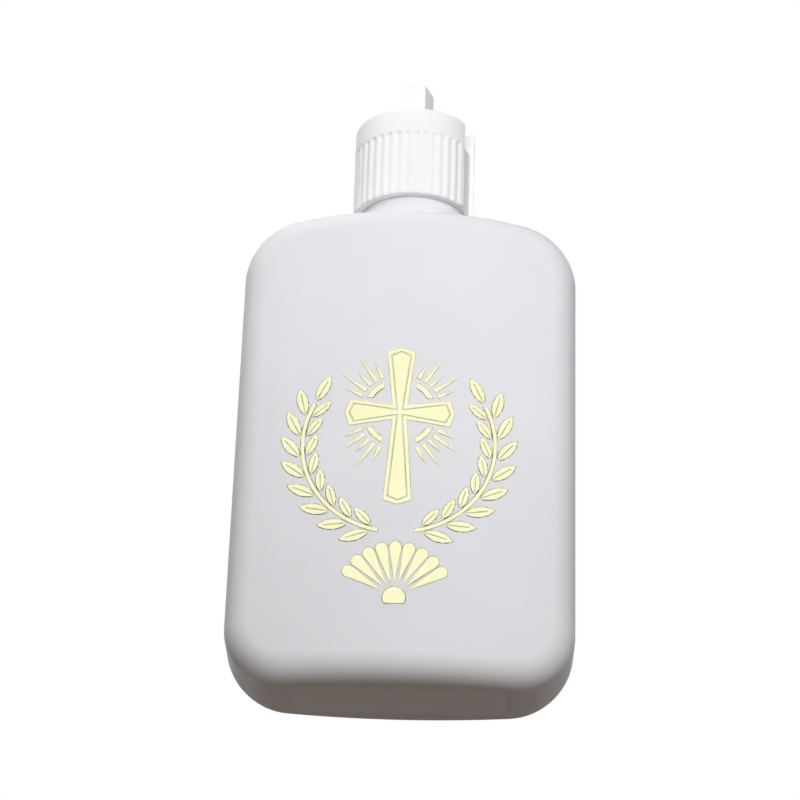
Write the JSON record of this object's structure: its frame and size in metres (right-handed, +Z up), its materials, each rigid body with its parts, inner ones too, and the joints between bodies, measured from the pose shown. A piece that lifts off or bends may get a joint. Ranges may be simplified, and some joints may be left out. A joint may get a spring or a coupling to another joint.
{
  "type": "flat squeeze bottle with a flip-spout screw cap",
  "caption": "Flat white plastic squeeze bottle for holy water, with a ribbed screw cap, a fold-down pouring spout and a pale gold foil emblem on its front.",
  "frame": {"origin": "on the table, under the middle of the bottle", "axes": "+Z up along the neck, +X to the right across the front, -Y out of the front face that carries the emblem"},
  "size_m": [0.062, 0.0276, 0.1248],
  "materials": {
    "bottle_plastic": "satin, slightly milky low-density polyethylene",
    "gold_foil": "pale gold hot-stamped foil",
    "liner_foam": "closed-cell foam with a smooth skin",
    "cap_plastic": "bright white moulded polypropylene",
    "spout_plastic": "bright white moulded polyethylene"
  },
  "bodies": {
    "bottle": {"bottle_body": "bottle_plastic", "foil_emblem": "gold_foil"},
    "liner": {"sealing_liner": "liner_foam"},
    "cap": {"cap_body": "cap_plastic"},
    "spout": {"spout": "spout_plastic"}
  },
  "joints": [
    {"name": "cap_rise", "type": "slide", "parent": "bottle", "child": "liner", "axis": [0, 0, 1], "range_m": [0, 0.0135]},
    {"name": "cap_turn", "type": "hinge", "parent": "liner", "child": "cap", "pos_m": [0, 0, 0.105], "axis": [0, 0, 1], "range_deg": [0, 1530]},
    {"name": "spout_fold", "type": "hinge", "parent": "cap", "child": "spout", "pos_m": [-0.00141, 0.00051, 0.11185], "axis": [0.342, 0.9397, 0], "range_deg": [0, 80.7]}
  ],
  "couplings": [
    {"joint": "cap_rise", "follows": "cap_turn", "m_per_rad": 0.00050532}
  ]
}
